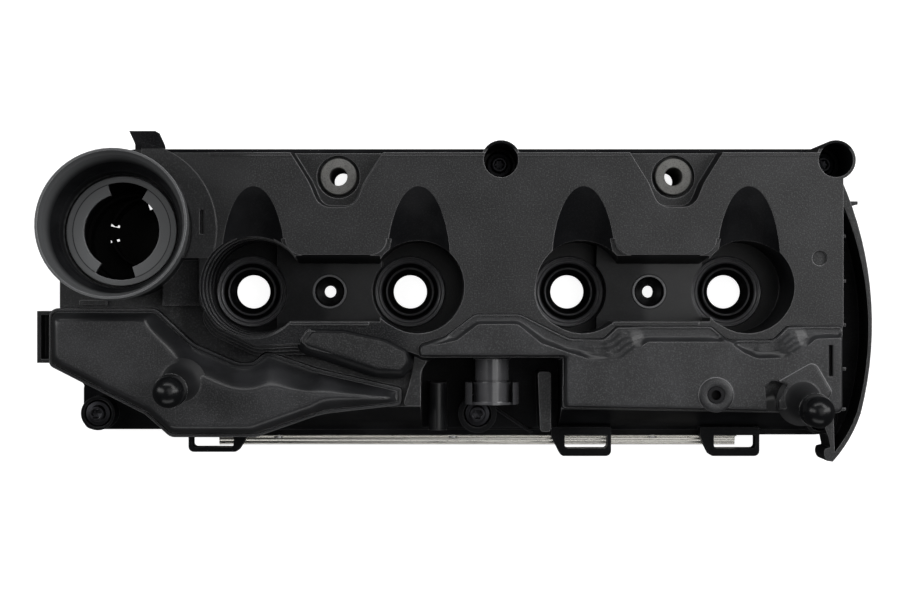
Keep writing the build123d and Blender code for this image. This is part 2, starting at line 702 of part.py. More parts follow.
        # gasket groove, with an eye round every screw
        gasket_plan(GROOVE[0], GROOVE[1], 5.7, 9.7, -1, GROOVE[2], Mode.SUBTRACT)
        # sockets for the breather pipe and the fixings
        with Locations(Location((px, y1, pz), (90, 0, 0))):
            Cylinder(root + GAP, 16.0, mode=Mode.SUBTRACT)
        for x in RIVETS_X:
            with Locations(Location((x, -77, RIVET_Z), (90, 0, 0))):
                Cylinder(1.4, 8.0, mode=Mode.SUBTRACT)
        for x, y in BAFFLE_FIXINGS:
            rod(x, y, 0, 16.4, 1.9, Mode.SUBTRACT)
    return cover.part


def gasket_plan(outer, inner, eye_in, eye_out, low, high, mode=Mode.ADD):
    with BuildSketch(Plane.XY.offset(low)) as plan:
        outline(inset(RIM, outer))
        with BuildSketch(mode=Mode.PRIVATE) as middle:
            outline(inset(RIM, inner))
        add(middle.sketch, mode=Mode.SUBTRACT)
        with Locations(*SCREWS):
            Circle(eye_out)
        with BuildSketch(mode=Mode.PRIVATE) as bound:
            outline(inset(RIM, 1.6 + outer - GROOVE[0]))
        add(bound.sketch, mode=Mode.INTERSECT)
        with Locations(*SCREWS):
            Circle(eye_in, mode=Mode.SUBTRACT)
    extrude(plan.sketch, amount=high - low, mode=mode)


def separator_lid():
    with BuildPart() as lid:
        prism(SEPARATOR, *SEP_RIM)
        band(SEPARATOR, 2.2, SEP_RIM[1], SEP_RIM[1] + BEAD)
        frustum(BULGE_FOOT, BULGE_MID, SEP_RIM[1] - 0.5, SEP_MID)
        frustum(BULGE_MID, BULGE_TOP, SEP_MID, SEP_TOP)
        post("left")
        frustum(inset(CHAMBER, 3.0), inset(CHAMBER, 7.5), SEP_RIM[0] - 1, SEP_MID - 0.5, Mode.SUBTRACT)
    return lid.part


def reservoir_lid():
    ix, iy, radius, _, length = INSERT
    with BuildPart() as lid:
        prism(RESERVOIR, *RES_RIM)
        band(RESERVOIR, 1.3, RES_RIM[1], RES_RIM[1] + 0.7 * BEAD)
        for step in range(1, TERRACES + 1):
            rise = (RES_TOP - RES_RIM[1]) * step / TERRACES
            share = (step - 1) / (TERRACES - 1)
            prism(between(LID_FOOT, LID_TOP, share), RES_RIM[1] - 0.5, RES_RIM[1] + rise)
        post("right")
        prism(
            [(146, -51.5, 3), (171.5, -37, 4), (181, -53.5, 3), (176, -62, 3), (148.5, -62.5, 4)],
            RES_TOP - 1,
            RES_TOP + 0.8,
        )
        rod(ix, iy, RES_TOP - 1, RES_TOP + 1.0, 9.2)
        prism(VESSEL, RES_RIM[0] - 1, RES_RIM[1] - WALL, Mode.SUBTRACT)
        block(50, 176, -56, -42, RES_RIM[0] - 1, RES_TOP - WALL, Mode.SUBTRACT)
        rod(ix, iy, RES_RIM[0], RES_TOP, 7.4)
        rod(ix, iy, RES_TOP + 1 - length, RES_TOP + 5, radius + 0.05, Mode.SUBTRACT)
        block(179.1, 181.4, -45.0, -28.5, RES_RIM[1] - 1.0, 80, Mode.SUBTRACT)
        prism(LID_POCKET, RES_RIM[1] - 0.5, 80, Mode.SUBTRACT)
    return lid.part


def injector_seal(x):
    profile = [
        (INJ_R, 5.05),
        (15.9, 5.05),
        (15.9, WELL_Z + 0.05),
        (19.9, WELL_Z + 0.05),
        (19.9, 15.0),
        (17.8, 15.7),
        (16.8, 14.9),
        (15.0, 15.5),
        (13.6, 13.0),
        (12.6, 12.4),
        (11.6, 9.6),
        (10.6, 8.4),
        (INJ_R, 6.8),
    ]
    with BuildPart() as seal:
        turned(x, 0, profile)
    return seal.part


def clamp_seal(x):
    base = CLAMP_FLOOR_Z + 0.05
    profile = [
        (CLAMP_HOLE_R, base),
        (CLAMP_R - GAP, base),
        (CLAMP_R - GAP, MID_Z + 0.7),
        (8.2, MID_Z + 0.7),
        (7.2, 22.0),
        (4.8, 20.8),
        (CLAMP_HOLE_R, 20.4),
    ]
    with BuildPart() as seal:
        turned(x, 0, profile)
    return seal.part


def mounting_screws():
    with BuildPart() as screws:
        for x, y in SCREWS:
            rod(x, y, 1.5, SCREW_SEAT_Z + 1, 3.0)
            rod(x, y, SCREW_SEAT_Z, SCREW_SEAT_Z + 1.6, 6.8)
            rod(x, y, SCREW_SEAT_Z + 1, SCREW_SEAT_Z + 6.6, 4.3)
            with BuildSketch(Plane.XY.offset(SCREW_SEAT_Z + 3.4)) as drive:
                with Locations((x, y)):
                    RegularPolygon(2.5, 6)
            extrude(drive.sketch, amount=4, mode=Mode.SUBTRACT)
    return screws.part


def screw_sleeves():
    with BuildPart() as sleeves:
        for x, y in SCREWS:
            rod(x, y, 1.1, SCREW_SEAT_Z - 0.02, 4.6)
            rod(x, y, 0, 30, 3.3, Mode.SUBTRACT)
    return sleeves.part


def screw_grommets():
    with BuildPart() as rings:
        for x, y in SCREWS:
            turned(x, y, [(4.7, 12.05), (7.4, 12.05), (7.4, 18.2), (6.4, 19.4), (4.7, 19.4)])
    return rings.part


def bracket_sleeve(x, y):
    with BuildPart() as sleeve:
        turned(
            x,
            y,
            [
                (SLEEVE_BORE_R, 1.1),
                (7.4, 1.1),
                (7.4, 20.1),
                (SLEEVE_R, 20.1),
                (SLEEVE_R, SLEEVE_TOP_Z - 0.5),
                (SLEEVE_R - 0.5, SLEEVE_TOP_Z),
                (SLEEVE_BORE_R + 0.4, SLEEVE_TOP_Z),
                (SLEEVE_BORE_R, SLEEVE_TOP_Z - 0.4),
            ],
        )
    return sleeve.part


def threaded_insert():
    x, y, radius, thread, length = INSERT
    top = RES_TOP + 1.2
    with BuildPart() as insert:
        rod(x, y, RES_TOP + 1.05 - length, top, radius)
        rod(x, y, RES_TOP + 2.2 - length, top + 1, thread, Mode.SUBTRACT)
    return insert.part


def breather_pipe():
    x, z, root, nose, bore = PIPE
    front = CAVITY[2]
    with BuildPart() as pipe:
        with BuildSketch(Plane.XY.offset(z)) as section:
            with BuildLine():
                Polyline(
                    (x + bore, front + 4.0),
                    (x + root, front + 4.0),
                    (x + root, front - 13.0),
                    (x + root - 0.8, front - 13.2),
                    (x + root - 0.8, front - 13.8),
                    (x + nose, front - 14.0),
                    (x + nose, front - 24.6),
                    (x + 13.0, front - 24.6),
                    (x + 13.0, front - 26.0),
                    (x + bore, front - 26.0),
                    close=True,
                )
            make_face()
        revolve(section.sketch, axis=Axis((x, 0, z), (0, 1, 0)))
        with BuildPart(mode=Mode.PRIVATE) as collar:
            with Locations(Location((x, front - 20.0, z), (90, 0, 0))):
                Cylinder(14.8, 12.0)
                Cylinder(13.2, 12.0, mode=Mode.SUBTRACT)
            block(x - 11, x + 11, front - 30, front, z - 20, z + 20, Mode.SUBTRACT)
        add(collar.part)
        block(x - 13.6, x + 13.6, front - 26.0, front - 24.6, z - 4, z + 4)
        with Locations(Location((x, front - 25.3, z), (90, 0, 0))):
            Cylinder(bore, 2.0, mode=Mode.SUBTRACT)
    return pipe.part


def heat_shield():
    low, high = SHIELD_X
    with BuildPart() as shield:
        with BuildSketch(Plane.YZ.offset(low)) as section:
            with BuildLine():
                Polyline(
                    (-80.05, 9.6),
                    (-80.05, 2.6),
                    (-84.4, 2.2),
                    (-85.4, 1.0),
                    (-86.2, 1.5),
                    (-85.0, 3.2),
                    (-80.95, 3.6),
                    (-80.95, 9.6),
                    close=True,
                )
            make_face()
        extrude(section.sketch, amount=high - low)
        for x in RIVETS_X:
            with Locations(Location((x, -80.5, RIVET_Z), (90, 0, 0))):
                Cylinder(1.4, 6.0, mode=Mode.SUBTRACT)
    return shield.part


def shield_rivets():
    with BuildPart() as rivets:
        for x in RIVETS_X:
            with Locations(Location((x, -77.6, RIVET_Z), (90, 0, 0))):
                Cylinder(1.3, 6.8)
            with Locations(Location((x, -81.37, RIVET_Z), (90, 0, 0))):
                Cylinder(2.4, 0.8)
    return rivets.part


def baffle_plate():
    with BuildPart() as plate:
        prism(BAFFLE, BAFFLE_Z, BAFFLE_Z + 1.15)
        for x, y in BAFFLE_FIXINGS:
            rod(x, y, 0, 30, 1.9, Mode.SUBTRACT)
        for i in range(5):
            block(-196 + i * 12, -192 + i * 12, -58, -48, 0, 30, Mode.SUBTRACT)
    return plate.part


def baffle_rivets():
    with BuildPart() as rivets:
        for x, y in BAFFLE_FIXINGS:
            rod(x, y, BAFFLE_Z - 1, 16.3, 1.8)
            rod(x, y, BAFFLE_Z - 1.4, BAFFLE_Z - 0.02, 3.4)
    return rivets.part


def separator_insert():
    """Open tray with upright vanes that fling the oil out of the blow-by gas."""
    base = CHAMBER_Z + 0.05
    with BuildPart() as tray:
        prism(inset(CHAMBER, 1.2), base, base + 2)
        for i, x in enumerate((-212, -196, -150, -134, -118)):
            shift = 4 if i % 2 else -4
            with BuildPart(mode=Mode.PRIVATE) as vane:
                prism(inset(CHAMBER, 1.2), base, 40)
                block(-260, x, -100, 10, 0, 60, Mode.SUBTRACT)
                block(x + 2, -40, -100, 10, 0, 60, Mode.SUBTRACT)
                block(x - 1, x + 3, -52 + shift, -40 + shift, base + 2, 60, Mode.SUBTRACT)
            add(vane.part)
    return tray.part


def splash_guard():
    """Dished plate in the foot of the filler neck, slit for the oil, with a curved vane on it."""
    low, high = GUARD_DISH
    x, y, radius, tall = VANE
    rim = NECK_BORE_R - GAP
    with BuildPart() as guard:
        neck_turned([(0, low), (rim, low), (rim, high), (24.2, high), (23.4, low + 1.6), (0, low + 1.6)])
        with BuildSketch(neck_plane(low)) as plan:
            with Locations((x, y)):
                Circle(radius)
                Circle(radius - 1.3, mode=Mode.SUBTRACT)
            Circle(NECK_BORE_R - 0.4, mode=Mode.INTERSECT)
            with Locations((x - radius, y + 0.8)):
                Rectangle(8, 7, mode=Mode.SUBTRACT)
        extrude(plan.sketch, amount=tall)
        with BuildSketch(neck_plane(low - 1)) as slits:
            for x, y, long, wide, turn in SLITS:
                with Locations(Location((x, y, 0), (0, 0, turn))):
                    Rectangle(long, wide)
        extrude(slits.sketch, amount=4, mode=Mode.SUBTRACT)
    return guard.part


def perimeter_gasket():
    with BuildPart() as gasket:
        gasket_plan(GROOVE[0] + GAP, GROOVE[1] - GAP, 5.8, 9.6, 0, GROOVE[2] - 0.05)
    return gasket.part


PARTS = {
    "cover_body": body,
    "separator_lid": separator_lid,
    "reservoir_lid": reservoir_lid,
    "separator_insert": separator_insert,
    "perimeter_gasket": perimeter_gasket,
    "mounting_screws": mounting_screws,
    "screw_sleeves": screw_sleeves,
    "screw_grommets": screw_grommets,
    "threaded_insert": threaded_insert,
    "breather_pipe": breather_pipe,
    "heat_shield": heat_shield,
    "shield_rivets": shield_rivets,
    "baffle_plate": baffle_plate,
    "baffle_rivets": baffle_rivets,
    "splash_guard": splash_guard,
}

for number, x in enumerate(INJECTORS, 1):
    PARTS[f"injector_seal_{number}"] = partial(injector_seal, x)
for number, x in enumerate(CLAMPS, 1):
    PARTS[f"clamp_seal_{number}"] = partial(clamp_seal, x)
for number, (x, y) in enumerate(SLEEVES, 1):
    PARTS[f"bracket_sleeve_{number}"] = partial(bracket_sleeve, x, y)

if __name__ == "__main__":
    os.makedirs("parts", exist_ok=True)
    for name, make in PARTS.items():
        piece = make()
        piece.label = name
        export_step(piece, f"parts/{name}.step")
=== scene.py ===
"""Studio scene of a moulded cylinder head cover: finishes, seals, screws and small fittings.

Metres, +Z up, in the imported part's own frame: z = 0 is the gasket's underside, +X the belt end,
x = 0 midway between injectors 2 and 3. Lengths written in millimetres are multiplied by MM.
"""

import json
from math import pi, radians

import bmesh
import bpy
import numpy as np
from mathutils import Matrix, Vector
from mathutils.geometry import delaunay_2d_cdt


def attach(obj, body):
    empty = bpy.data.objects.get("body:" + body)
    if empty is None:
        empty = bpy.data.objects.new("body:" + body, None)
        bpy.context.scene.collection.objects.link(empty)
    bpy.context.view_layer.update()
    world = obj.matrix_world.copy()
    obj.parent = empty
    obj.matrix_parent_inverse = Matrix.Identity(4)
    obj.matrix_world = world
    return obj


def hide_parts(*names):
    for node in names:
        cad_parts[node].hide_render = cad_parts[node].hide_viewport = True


MM = 0.001

# places shared with the part
PITCH = 88 * MM
INJECTORS = [PITCH * (i - 1.5) for i in range(4)]
NECK = (-195 * MM, 31.8 * MM, 66 * MM)
NECK_TILT = radians(5.5)

# the same in millimetres; a stud has its foot's height and its tilt in degrees after x and y
SCREW_SEAT = 20
SCREWS = [(5.5, 70), (184, 70), (-6.5, -67.5), (-216.5, -67.3), (183.5, -69.5)]
LEFT_STUD = (-165.1, -49.2, 58, 3.4)
RIGHT_STUD = (165.3, -58.2, 62, 4.6)
BOSS = (119.3, -55)
BOSS_BORE = 4.5
SHIELD_ENDS = (-151.8, 138.8)

# heights of rims in millimetres, and the rise from there to the crown
SEPARATOR_RIM = 45.9
SEPARATOR_RISE = 12
RESERVOIR_RIM = 57.9
RESERVOIR_RISE = 4.1
OVAL_RIM = 50
OVAL_RISE = 8.7
CLEAR_ABOVE = 80  # tops of the cutting tools, over all that they cut

# camera: straight above, a little left of the cover's middle
EYE = (-21.7 * MM, -4.6 * MM, 980 * MM)
FOCAL_IN_WIDTHS = 1732 / 900
SENSOR_MM = 36.0

# tones, linear
SOOT = (0.0060, 0.0062, 0.0070)
CHARCOAL = (0.0135, 0.0138, 0.0150)
ASH = (0.028, 0.0285, 0.031)
PEWTER = (0.19, 0.195, 0.20)
FLECK = (0.16, 0.16, 0.165)
# pale grey of the painted edge highlight
EDGE_HIGHLIGHT = (0.45, 0.45, 0.46)
BRIGHT = (0.75, 0.75, 0.74)
SINTER_DARK = (0.15, 0.148, 0.14)
SINTER_LIGHT = (0.28, 0.277, 0.268)
PORE = (0.1, 0.1, 0.095)
BLACK_ZINC = (0.012, 0.012, 0.013)


class Wire:
    """A shader output that takes part in Python arithmetic; each operator adds one Math node."""

    def __init__(self, finish, socket):
        self.finish = finish
        self.socket = socket

    def math(self, operation, *values):
        return self.finish.node("Math", {"operation": operation}, dict(enumerate(values)))

    def __add__(self, other):
        return self.math("ADD", self, other)

    __radd__ = __add__

    def __sub__(self, other):
        return self.math("SUBTRACT", self, other)

    def __rsub__(self, other):
        return self.math("SUBTRACT", other, self)

    def __mul__(self, other):
        return self.math("MULTIPLY", self, other)

    __rmul__ = __mul__

    def most(self, other):
        return self.math("MAXIMUM", self, other)

    def band(self, low, high, soft):
        """1 between low and high, with ramps of the given length just outside."""
        return self.rise(low - soft, low) * (1 - self.rise(high, high + soft))

    def rise(self, low, high):
        """0 below low, 1 above high, with a smooth rise between."""
        ends = {"Value": self, "From Min": low, "From Max": high}
        return self.finish.node("MapRange", {"interpolation_type": "SMOOTHSTEP"}, ends)


class Finish:
    """A material in the making. node() adds any shader node: settings first, then its sockets."""

    def __init__(self, name):
        self.material = bpy.data.materials.new(name)
        self.material.use_nodes = True
        self.tree = self.material.node_tree
        self.tree.nodes.clear()
        self.place = self.node("TexCoord", {}, {}, "Object")

    def node(self, kind, settings, sockets, output=0):
        made = self.tree.nodes.new("ShaderNode" + kind)
        for key, value in settings.items():
            setattr(made, key, value)
        for key, value in sockets.items():
            if isinstance(value, Wire):
                self.tree.links.new(value.socket, made.inputs[key])
            else:
                made.inputs[key].default_value = value
        return Wire(self, made.outputs[output]) if made.outputs else made

    def noise(self, per_metre, detail, stretch=(1, 1, 1)):
        """Even noise, or noise drawn out along the axes whose stretch is under 1."""
        drawn = self.node("Mapping", {}, {"Vector": self.place, "Scale": stretch})
        return self.node("TexNoise", {}, {"Vector": drawn, "Scale": per_metre, "Detail": detail})

    def mix(self, share, first, second):
        """The first colour where share is 0, the second where it is 1."""
        ends = [c if isinstance(c, Wire) else (*c, 1.0) for c in (first, second)]
        return self.node("Mix", {"data_type": "RGBA"}, {0: share, 6: ends[0], 7: ends[1]}, 2)

    def along(self, axis):
        return self.node("SeparateXYZ", {}, {"Vector": self.place}, axis)

    def height(self):
        return self.along("Z")

    def upward(self):
        """1 on a level face, 0 on an upright wall."""
        return self.node("SeparateXYZ", {}, {"Vector": self.node("NewGeometry", {}, {}, "Normal")}, "Z")

    def outer_wall(self):
        """1 on an upright wall that faces away from the cover's middle, 0 on all other faces."""
        normal = self.node("NewGeometry", {}, {}, "Normal")
        flat = self.node("VectorMath", {"operation": "MULTIPLY"}, {0: normal, 1: (1, 1, 0)})
        away = self.node("VectorMath", {"operation": "DOT_PRODUCT"}, {0: flat, 1: self.place}, "Value")
        return away.rise(10 * MM, 40 * MM) * (1 - self.upward().rise(0.15, 0.3))

    def rounded(self, radius):
        """Normal that turns smoothly round an edge, as a moulded corner does."""
        return self.node("Bevel", {"samples": 6}, {"Radius": radius})

    def edge(self, radius):
        """0 on a flat stretch, rising within the radius of an edge."""
        flat = self.node("NewGeometry", {}, {}, "Normal")
        pair = {0: self.rounded(radius), 1: flat}
        return 1 - self.node("VectorMath", {"operation": "DOT_PRODUCT"}, pair, "Value")

    def bump(self, relief, distance, normal=None):
        sockets = {"Height": relief, "Distance": distance, "Strength": 1.0}
        if normal:
            sockets["Normal"] = normal
        return self.node("Bump", {}, sockets)

    def done(self, sockets):
        return self.blend(0, self.node("BsdfPrincipled", {}, sockets), None)

    def blend(self, share, first, second):
        """Ends the material with the first shader, or with a blend that turns into the second."""
        surface = self.node("MixShader", {}, {0: share, 1: first, 2: second}) if second else first
        self.node("OutputMaterial", {}, {"Surface": surface})
        return self.material


def neck_masks(f):
    """The bayonet ring inside the filler's collar, and the collar's own top: 1 there, 0 elsewhere."""
    turn = {"Vector": f.place, "Location": NECK, "Rotation": (-NECK_TILT, 0, 0)}
    spot = f.node("Mapping", {"vector_type": "TEXTURE"}, turn)
    along = f.node("SeparateXYZ", {}, {"Vector": spot}, "Z")
    flat = f.node("VectorMath", {"operation": "MULTIPLY"}, {0: spot, 1: (1, 1, 0)})
    far = f.node("VectorMath", {"operation": "LENGTH"}, {0: flat}, "Value")
    lands = far.band(19.8 * MM, 25.3 * MM, 0.4 * MM) + 0.8 * far.band(26.2 * MM, 30.4 * MM, 0.3 * MM)
    ring = lands * along.rise(-2.5 * MM, -0.8 * MM)
    collar = far.rise(30.8 * MM, 31.2 * MM) * (1 - far.rise(39.6 * MM, 40.2 * MM))
    return ring, collar * along.rise(14 * MM, 24 * MM)


def first_well(x, y):
    """1 in the first injector's well, 0 elsewhere."""
    return x.band(-164 * MM, -121 * MM, 8 * MM) * y.band(-40 * MM, 16 * MM, 4 * MM)


def hook(y):
    """1 on the hook behind the filler neck, 0 elsewhere."""
    return y.rise(75.5 * MM, 76.5 * MM)


def highlight_holdback_places(f):
    """Share of the painted edge highlight that is held back: all on the hook, most of it round the
    neck's foot and in the first well, none elsewhere. Specks are thinned by it too.
    """
    x, y = f.along("X"), f.along("Y")
    surround = (1 - x.rise(-134 * MM, -126 * MM)) * y.rise(-6 * MM, 0 * MM)
    low = 1 - f.height().rise(60 * MM, 62 * MM)
    return (0.75 * surround * low).most(0.7 * first_well(x, y)).most(hook(y))


def unshaded_share_by_place(f):
    """Share of the lit copy that each place keeps, before its slope counts; the rest goes to the shaded
    copy, as painted shade.

    Low places keep none along the front flange, in the guard and in the front cavity, and about a
    third on the well floors. Of that, the first well and the left part of each pad between two
    wells keep 0.4, and the deck in front of the first two wells 0.2. The hook keeps none.
    """
    x, y, height = f.along("X"), f.along("Y"), f.height()
    high = height.rise(21.5 * MM, 25.3 * MM)
    wells = (1 - x.rise(186 * MM, 188 * MM)) * y.rise(-36 * MM, -34 * MM)
    pads = x.band(-118 * MM, -94 * MM, 8 * MM) + x.band(58 * MM, 82 * MM, 8 * MM)
    pads = pads * (1 - height.rise(27 * MM, 30 * MM))
    # painted shade: less of the lit copy on the front deck, in the first well and on the left part of
    # each pad
    front = x.band(-138 * MM, -52 * MM, 14 * MM) * y.band(-34 * MM, -18 * MM, 4 * MM)
    under_lid = 1 - height.rise(57.6 * MM, 58 * MM)
    sunk = (0.8 * front).most(0.6 * first_well(x, y)) * under_lid
    shade = 1 - (0.6 * pads).most(sunk)
    return (high + (1 - high) * 0.35 * wells) * shade * (1 - hook(y))


def moulded(name, dark, light, corner, relief, slopes):
    """Glass-filled black nylon: eroded grain on the level decks, polished walls, and a painted
    highlight in pale colour along the edges.

    The material is a lit copy that reflects fully, blended with a shaded copy that hardly reflects, so
    the blend paints shade. Level faces and highlighted edges have the full share of the lit copy that
    their place keeps, slopes the share given of it, and outer walls at least 0.7.
    """
    f = Finish(name)
    height = f.height()
    clouds = f.noise(38, 4.0).rise(0.35, 0.7)
    grain = f.noise(1100, 3.0)
    specks = f.noise(1350, 3.0).rise(0.44, 0.78)
    level = f.upward().rise(0.93, 0.99)
    eroded = height.rise(30 * MM, 42 * MM) * level
    ring, collar = neck_masks(f)
    # share of the painted edge highlight, and of the specks, that is held back
    highlight_and_speck_holdback = highlight_holdback_places(f)
    # edge mask of the painted highlight, held back in some places
    lightened_edges = f.edge(0.8 * MM).rise(0.03, 0.26) * (1 - highlight_and_speck_holdback)
    tone = f.mix(clouds, dark, light)
    tone = f.mix(ring * 0.9, tone, PEWTER)
    tone = f.mix(collar * 0.5, tone, PEWTER)
    tone = f.mix(specks * (0.04 + 0.26 * eroded) * (1 - 0.7 * highlight_and_speck_holdback), tone, FLECK)
    # painted highlight: pale colour along the edges, stronger higher up
    tone = f.mix(lightened_edges * (0.15 + 0.5 * height.rise(24 * MM, 44 * MM)), tone, EDGE_HIGHLIGHT)
    sockets = {
        "Base Color": tone,
        "Roughness": 0.27 + 0.15 * eroded + 0.10 * grain,
        "Normal": f.bump((grain + 0.6 * specks) * (0.12 + 0.88 * eroded), relief, f.rounded(corner)),
    }
    # lit and shaded copies of one material: the shaded copy hardly reflects, and blending towards it
    # paints shade
    lit_copy = f.node("BsdfPrincipled", {}, sockets | {"Specular IOR Level": 0.5})
    shaded_copy = f.node("BsdfPrincipled", {}, sockets | {"Specular IOR Level": 0.04})
    lit = slopes + (1 - slopes) * level.most(lightened_edges).most(ring).most(collar)
    # share of the lit copy; where it falls, the shaded copy paints shade
    shine = (unshaded_share_by_place(f) * lit).most(0.7 * f.outer_wall())
    return f.blend(shine, shaded_copy, lit_copy)


def ball_plastic(name):
    """Hard black nylon of the ball studs: a soft sheen and fine turned lines."""
    f = Finish(name)
    lines = f.noise(700, 2.0, (0.3, 0.3, 3))
    high = f.height().rise(70 * MM, 88 * MM)
    # painted highlight: pale edges on the upper stud, chiefly the collar's rim under the ball
    lightened_edges = f.edge(0.5 * MM).rise(0.05, 0.3) * high
    return f.done(
        {
            "Base Color": f.mix(lightened_edges, f.mix(high, CHARCOAL, SOOT), EDGE_HIGHLIGHT),
            "Roughness": 0.5 - 0.28 * high + 0.06 * lines,
            "Normal": f.bump(lines, 0.01 * MM),
            "Specular IOR Level": 0.3,
        }
    )


def smooth_plastic(name, tone, roughness, corner, shine, coat):
    """Polished mould face: faint flow clouds and a few fine scratches, under a clear coat or none."""
    f = Finish(name)
    clouds = f.noise(70, 3.0)
    scratches = f.noise(260, 2.0, (1, 14, 3)).rise(0.66, 0.7)
    return f.done(
        {
            "Base Color": f.mix(clouds, tone, tuple(1.6 * c for c in tone)),
            "Roughness": roughness + 0.12 * clouds + 0.1 * scratches,
            "Normal": f.bump(clouds + 0.3 * scratches, 0.05 * MM, f.rounded(corner)),
            "Specular IOR Level": shine,
            "Coat Weight": coat,
            "Coat Roughness": 0.06,
        }
    )


def rubber(name, tone):
    """Moulded rubber: dusty bloom in clouds, with painted shade in the grooves and a painted highlight
    on the crests, both in colour and in a lit copy blended with a shaded one.
    """
    f = Finish(name)
    bloom = f.noise(320, 4.0).rise(0.45, 0.75)
    grain = f.noise(2600, 2.0)
    height = f.height()
    painted_crest_highlight = height.band(15.0 * MM, 16.6 * MM, 0.9 * MM) + height.rise(25.5 * MM, 25.9 * MM)
    # crests pale and grooves dark: painted highlight and painted shade
    base = f.mix(painted_crest_highlight, tuple(0.3 * c for c in tone), tuple(6 * c for c in tone))
    sockets = {
        "Base Color": f.mix(bloom * 0.3, base, tuple(2.4 * c for c in tone)),
        "Roughness": 0.40 + 0.2 * bloom - 0.1 * painted_crest_highlight,
        "Normal": f.bump(grain, 0.03 * MM, f.rounded(0.3 * MM)),
    }
    lit_rubber = f.node("BsdfPrincipled", {}, sockets | {"Specular IOR Level": 1.0})
    shaded_rubber = f.node("BsdfPrincipled", {}, sockets | {"Specular IOR Level": 0.08})
    return f.blend(painted_crest_highlight, shaded_rubber, lit_rubber)


def turned_steel(name, tone, roughness, stretch):
    """Machined or rolled metal: fine drawn lines, and edges made bright by wear."""
    f = Finish(name)
    lines = f.noise(900, 3.0, stretch)
    lightened_edges = f.edge(0.4 * MM).rise(0.03, 0.4)
    base = f.mix(lines, tuple(0.75 * c for c in tone), tone)
    return f.done(
        {
            "Base Color": f.mix(lightened_edges, base, BRIGHT),
            "Roughness": roughness + 0.18 * lines,
            "Metallic": 1.0,
            "Normal": f.bump(lines, 0.02 * MM, f.rounded(0.3 * MM)),
        }
    )


def sintered_steel(name):
    """Pressed and sintered steel: pale, matt, with dark open pores."""
    f = Finish(name)
    pores = 1 - f.noise(1900, 2.0).rise(0.36, 0.46)
    clouds = f.noise(240, 3.0)
    base = f.mix(clouds, SINTER_DARK, SINTER_LIGHT)
    return f.done(
        {
            "Base Color": f.mix(pores * 0.7, base, PORE),
            "Roughness": 0.5 + 0.2 * clouds,
            "Metallic": 0.75,
            "Normal": f.bump(1 - pores, 0.06 * MM, f.rounded(0.35 * MM)),
        }
    )


def grey(level):
    return (level, level, level)


def finishes():
    """One finish for each of the record's material slots."""
    return {
        "body": moulded("moulded_body", SOOT, CHARCOAL, 0.9 * MM, 0.05 * MM, 0.15),
        "lid_plastic": moulded("moulded_lid", CHARCOAL, ASH, 1.2 * MM, 0.05 * MM, 1.0),
        # the insert inside the filler neck is black like the body, and its near-absent reflection is
        # painted shade for the deep neck
        "insert_plastic": smooth_plastic("insert_plastic", grey(0.006), 0.4, 0.3 * MM, 0.06, 0.0),
        "pipe_plastic": smooth_plastic("pipe_plastic", (0.06, 0.06, 0.064), 0.14, 0.4 * MM, 0.5, 1.0),
        "gasket_rubber": rubber("gasket_rubber", (0.03, 0.034, 0.03)),
        "seal_rubber": rubber("seal_rubber", (0.014, 0.014, 0.015)),
        "screw_steel": turned_steel("screw_black_zinc", (0.045, 0.045, 0.05), 0.3, (1, 1, 6)),
        "sleeve_steel": turned_steel("sleeve_steel", grey(0.55), 0.35, (1, 1, 8)),
        "sintered_steel": sintered_steel("sintered_steel"),
        "insert_steel": smooth_plastic("insert_black_zinc", BLACK_ZINC, 0.3, 0.2 * MM, 0.1, 0.0),
        "shield_steel": turned_steel("shield_foil", (0.80, 0.78, 0.72), 0.16, (0.02, 1, 1)),
        "baffle_steel": turned_steel("baffle_steel", grey(0.5), 0.4, (0.1, 1, 1)),
        "rivet_aluminium": turned_steel("rivet_aluminium", grey(0.75), 0.3, (1, 1, 1)),
    }


def skin(name, grid, finish, loop=True):
    """Mesh over a grid of points; rows wrap round, and columns too where loop is set.

    Point (i, j) is joined to (i + 1, j), (i + 1, j + 1) and (i, j + 1) as one face.
    """
    rows, columns = grid.shape[:2]
    i, j = np.meshgrid(np.arange(rows), np.arange(columns if loop else columns - 1), indexing="ij")
    next_i, next_j = (i + 1) % rows, (j + 1) % columns
    corners = [i * columns + j, next_i * columns + j, next_i * columns + next_j, i * columns + next_j]
    return surface(name, grid.reshape(-1, 3), np.stack(corners, -1).reshape(-1, 4), finish)


def surface(name, points, faces, finish):
    """Object of the given points and faces, its doubles welded and its faces turned outwards."""
    mesh = bpy.data.meshes.new(name)
    mesh.from_pydata(points.tolist(), [], [list(map(int, face)) for face in faces])
    work = bmesh.new()
    work.from_mesh(mesh)
    bmesh.ops.remove_doubles(work, verts=work.verts, dist=1e-7)
    bmesh.ops.recalc_face_normals(work, faces=work.faces)
    work.to_mesh(mesh)
    work.free()
    mesh.shade_smooth()
    mesh.set_sharp_from_angle(angle=radians(40))
    mesh.materials.append(finish)
    piece = bpy.data.objects.new(name, mesh)
    bpy.context.collection.objects.link(piece)
    return piece


def joined(name, pieces):
    """The pieces as one object, with its place in its mesh."""
    with bpy.context.temp_override(active_object=pieces[0], selected_editable_objects=pieces):
        bpy.ops.object.join()
    pieces[0].name = name
    return pieces[0]


